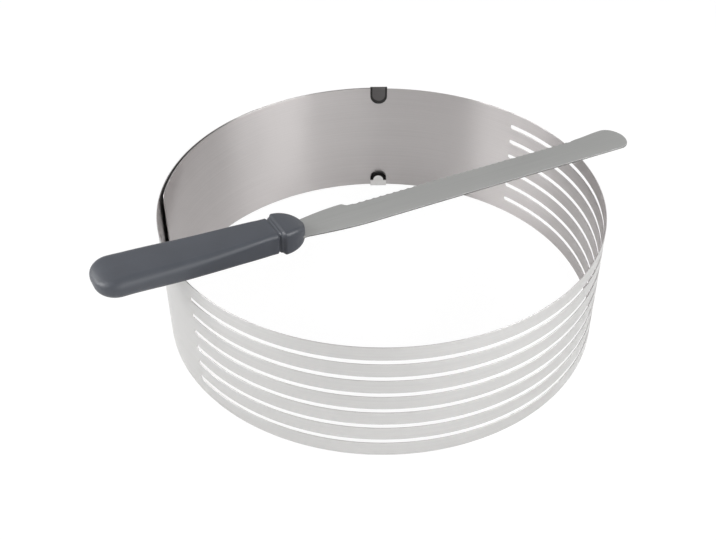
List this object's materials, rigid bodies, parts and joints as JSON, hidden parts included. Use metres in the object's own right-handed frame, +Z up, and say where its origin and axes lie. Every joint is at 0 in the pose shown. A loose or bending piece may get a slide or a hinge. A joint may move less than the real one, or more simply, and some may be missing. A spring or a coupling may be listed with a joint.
{
  "type": "adjustable cake leveler",
  "caption": "Slotted steel ring of adjustable width that stands round a cake, with a long knife to level or split it.",
  "frame": {"origin": "centre of the ring on the plane of its bottom edge", "axes": "+Z up, +X to the right as in the picture, towards the knife's tip side, +Y away from the camera"},
  "size_m": [0.335, 0.2855, 0.1012],
  "materials": {
    "band": "satin",
    "blade": "satin",
    "handle": "matte"
  },
  "bodies": {
    "inner_band_1": {"inner_band_1": "band"},
    "inner_band_2": {"inner_band_2": "band"},
    "inner_band_3": {"inner_band_3": "band"},
    "inner_band_4": {"inner_band_4": "band"},
    "inner_band_5": {"inner_band_5": "band"},
    "inner_band_6": {"inner_band_6": "band"},
    "inner_band_7": {"inner_band_7": "band"},
    "slotted_band_1": {"slotted_band_1": "band"},
    "slotted_band_2": {"slotted_band_2": "band"},
    "slotted_band_3": {"slotted_band_3": "band"},
    "slotted_band_4": {"slotted_band_4": "band"},
    "slotted_band_5": {"slotted_band_5": "band"},
    "slotted_band_6": {"slotted_band_6": "band"},
    "slotted_band_7": {"slotted_band_7": "band"},
    "slotted_band_8": {"slotted_band_8": "band"},
    "slotted_band_9": {"slotted_band_9": "band"},
    "slotted_band_10": {"slotted_band_10": "band"},
    "outer_band_1": {"outer_band_1": "band"},
    "outer_band_2": {"outer_band_2": "band"},
    "outer_band_3": {"outer_band_3": "band"},
    "outer_band_4": {"outer_band_4": "band"},
    "outer_band_5": {"outer_band_5": "band"},
    "outer_band_6": {"outer_band_6": "band"},
    "hooked_end": {"hooked_end": "band"},
    "knife": {"blade": "blade", "handle": "handle"}
  },
  "joints": [
    {"name": "ring_closes", "type": "hinge", "parent": "slotted_band_5", "child": "slotted_band_6", "pos_m": [0.09831, -0.10216, 0.0425], "axis": [0, 0, -1], "range_deg": [-1, 3.45]},
    {"name": "bend_13", "type": "hinge", "parent": "slotted_band_6", "child": "slotted_band_7", "pos_m": [0.06009, -0.12842, 0.0425], "axis": [0, 0, -1], "range_deg": [-1, 3.45]},
    {"name": "bend_14", "type": "hinge", "parent": "slotted_band_7", "child": "slotted_band_8", "pos_m": [0.01544, -0.14094, 0.0425], "axis": [0, 0, -1], "range_deg": [-1, 3.44]},
    {"name": "bend_15", "type": "hinge", "parent": "slotted_band_8", "child": "slotted_band_9", "pos_m": [-0.03087, -0.1384, 0.0425], "axis": [0, 0, -1], "range_deg": [-1, 3.43]},
    {"name": "bend_16", "type": "hinge", "parent": "slotted_band_9", "child": "slotted_band_10", "pos_m": [-0.07389, -0.12107, 0.0425], "axis": [0, 0, -1], "range_deg": [-1, 3.43]},
    {"name": "bend_17", "type": "hinge", "parent": "slotted_band_10", "child": "outer_band_1", "pos_m": [-0.10902, -0.0908, 0.0425], "axis": [0, 0, -1], "range_deg": [-1, 3.42]},
    {"name": "bend_18", "type": "hinge", "parent": "outer_band_1", "child": "outer_band_2", "pos_m": [-0.13254, -0.05083, 0.0425], "axis": [0, 0, -1], "range_deg": [-0.99, 3.42]},
    {"name": "bend_19", "type": "hinge", "parent": "outer_band_2", "child": "outer_band_3", "pos_m": [-0.14195, -0.00542, 0.0425], "axis": [0, 0, -1], "range_deg": [-0.99, 3.41]},
    {"name": "bend_20", "type": "hinge", "parent": "outer_band_3", "child": "outer_band_4", "pos_m": [-0.13624, 0.04061, 0.0425], "axis": [0, 0, -1], "range_deg": [-0.99, 3.4]},
    {"name": "bend_21", "type": "hinge", "parent": "outer_band_4", "child": "outer_band_5", "pos_m": [-0.11604, 0.08235, 0.0425], "axis": [0, 0, -1], "range_deg": [-0.99, 3.4]},
    {"name": "bend_22", "type": "hinge", "parent": "outer_band_5", "child": "outer_band_6", "pos_m": [-0.08349, 0.11539, 0.0425], "axis": [0, 0, -1], "range_deg": [-0.99, 3.39]},
    {"name": "bend_23", "type": "hinge", "parent": "outer_band_6", "child": "hooked_end", "pos_m": [-0.04205, 0.13622, 0.0425], "axis": [0, 0, -1], "range_deg": [-0.99, 3.39]},
    {"name": "bend_11", "type": "hinge", "parent": "slotted_band_5", "child": "slotted_band_4", "pos_m": [0.12597, -0.06492, 0.0425], "axis": [0, 0, 1], "range_deg": [-1.01, 3.46]},
    {"name": "bend_10", "type": "hinge", "parent": "slotted_band_4", "child": "slotted_band_3", "pos_m": [0.14018, -0.02078, 0.0425], "axis": [0, 0, 1], "range_deg": [-1.01, 3.46]},
    {"name": "bend_9", "type": "hinge", "parent": "slotted_band_3", "child": "slotted_band_2", "pos_m": [0.13937, 0.02559, 0.0425], "axis": [0, 0, 1], "range_deg": [-1.01, 3.47]},
    {"name": "bend_8", "type": "hinge", "parent": "slotted_band_2", "child": "slotted_band_1", "pos_m": [0.12361, 0.0692, 0.0425], "axis": [0, 0, 1], "range_deg": [-1.01, 3.48]},
    {"name": "bend_7", "type": "hinge", "parent": "slotted_band_1", "child": "inner_band_7", "pos_m": [0.0946, 0.10538, 0.0425], "axis": [0, 0, 1], "range_deg": [-1.01, 3.48]},
    {"name": "bend_6", "type": "hinge", "parent": "inner_band_7", "child": "inner_band_6", "pos_m": [0.05545, 0.13023, 0.0425], "axis": [0, 0, 1], "range_deg": [-1.01, 3.49]},
    {"name": "bend_5", "type": "hinge", "parent": "inner_band_6", "child": "inner_band_5", "pos_m": [0.01036, 0.14107, 0.0425], "axis": [0, 0, 1], "range_deg": [-1.02, 3.49]},
    {"name": "bend_4", "type": "hinge", "parent": "inner_band_5", "child": "inner_band_4", "pos_m": [-0.03581, 0.13672, 0.0425], "axis": [0, 0, 1], "range_deg": [-1.02, 3.5]},
    {"name": "bend_3", "type": "hinge", "parent": "inner_band_4", "child": "inner_band_3", "pos_m": [-0.07808, 0.11766, 0.0425], "axis": [0, 0, 1], "range_deg": [-1.02, 3.51]},
    {"name": "bend_2", "type": "hinge", "parent": "inner_band_3", "child": "inner_band_2", "pos_m": [-0.11179, 0.08582, 0.0425], "axis": [0, 0, 1], "range_deg": [-1.02, 3.51]},
    {"name": "bend_1", "type": "hinge", "parent": "inner_band_2", "child": "inner_band_1", "pos_m": [-0.13311, 0.04465, 0.0425], "axis": [0, 0, 1], "range_deg": [-1.02, 3.52]},
    {"name": "knife_lifts", "type": "slide", "parent": "slotted_band_5", "child": "knife", "axis": [0, 0, 1], "range_m": [0, 0.1]}
  ],
  "couplings": [
    {"joint": "bend_13", "follows": "ring_closes", "ratio": 0.99829},
    {"joint": "bend_14", "follows": "ring_closes", "ratio": 0.99657},
    {"joint": "bend_15", "follows": "ring_closes", "ratio": 0.99487},
    {"joint": "bend_16", "follows": "ring_closes", "ratio": 0.99316},
    {"joint": "bend_17", "follows": "ring_closes", "ratio": 0.99146},
    {"joint": "bend_18", "follows": "ring_closes", "ratio": 0.98976},
    {"joint": "bend_19", "follows": "ring_closes", "ratio": 0.98807},
    {"joint": "bend_20", "follows": "ring_closes", "ratio": 0.98638},
    {"joint": "bend_21", "follows": "ring_closes", "ratio": 0.98469},
    {"joint": "bend_22", "follows": "ring_closes", "ratio": 0.983},
    {"joint": "bend_23", "follows": "ring_closes", "ratio": 0.98132},
    {"joint": "bend_11", "follows": "ring_closes", "ratio": 1.0017},
    {"joint": "bend_10", "follows": "ring_closes", "ratio": 1.0034},
    {"joint": "bend_9", "follows": "ring_closes", "ratio": 1.0052},
    {"joint": "bend_8", "follows": "ring_closes", "ratio": 1.0069},
    {"joint": "bend_7", "follows": "ring_closes", "ratio": 1.0086},
    {"joint": "bend_6", "follows": "ring_closes", "ratio": 1.0104},
    {"joint": "bend_5", "follows": "ring_closes", "ratio": 1.0121},
    {"joint": "bend_4", "follows": "ring_closes", "ratio": 1.0138},
    {"joint": "bend_3", "follows": "ring_closes", "ratio": 1.0156},
    {"joint": "bend_2", "follows": "ring_closes", "ratio": 1.0173},
    {"joint": "bend_1", "follows": "ring_closes", "ratio": 1.0191}
  ]
}
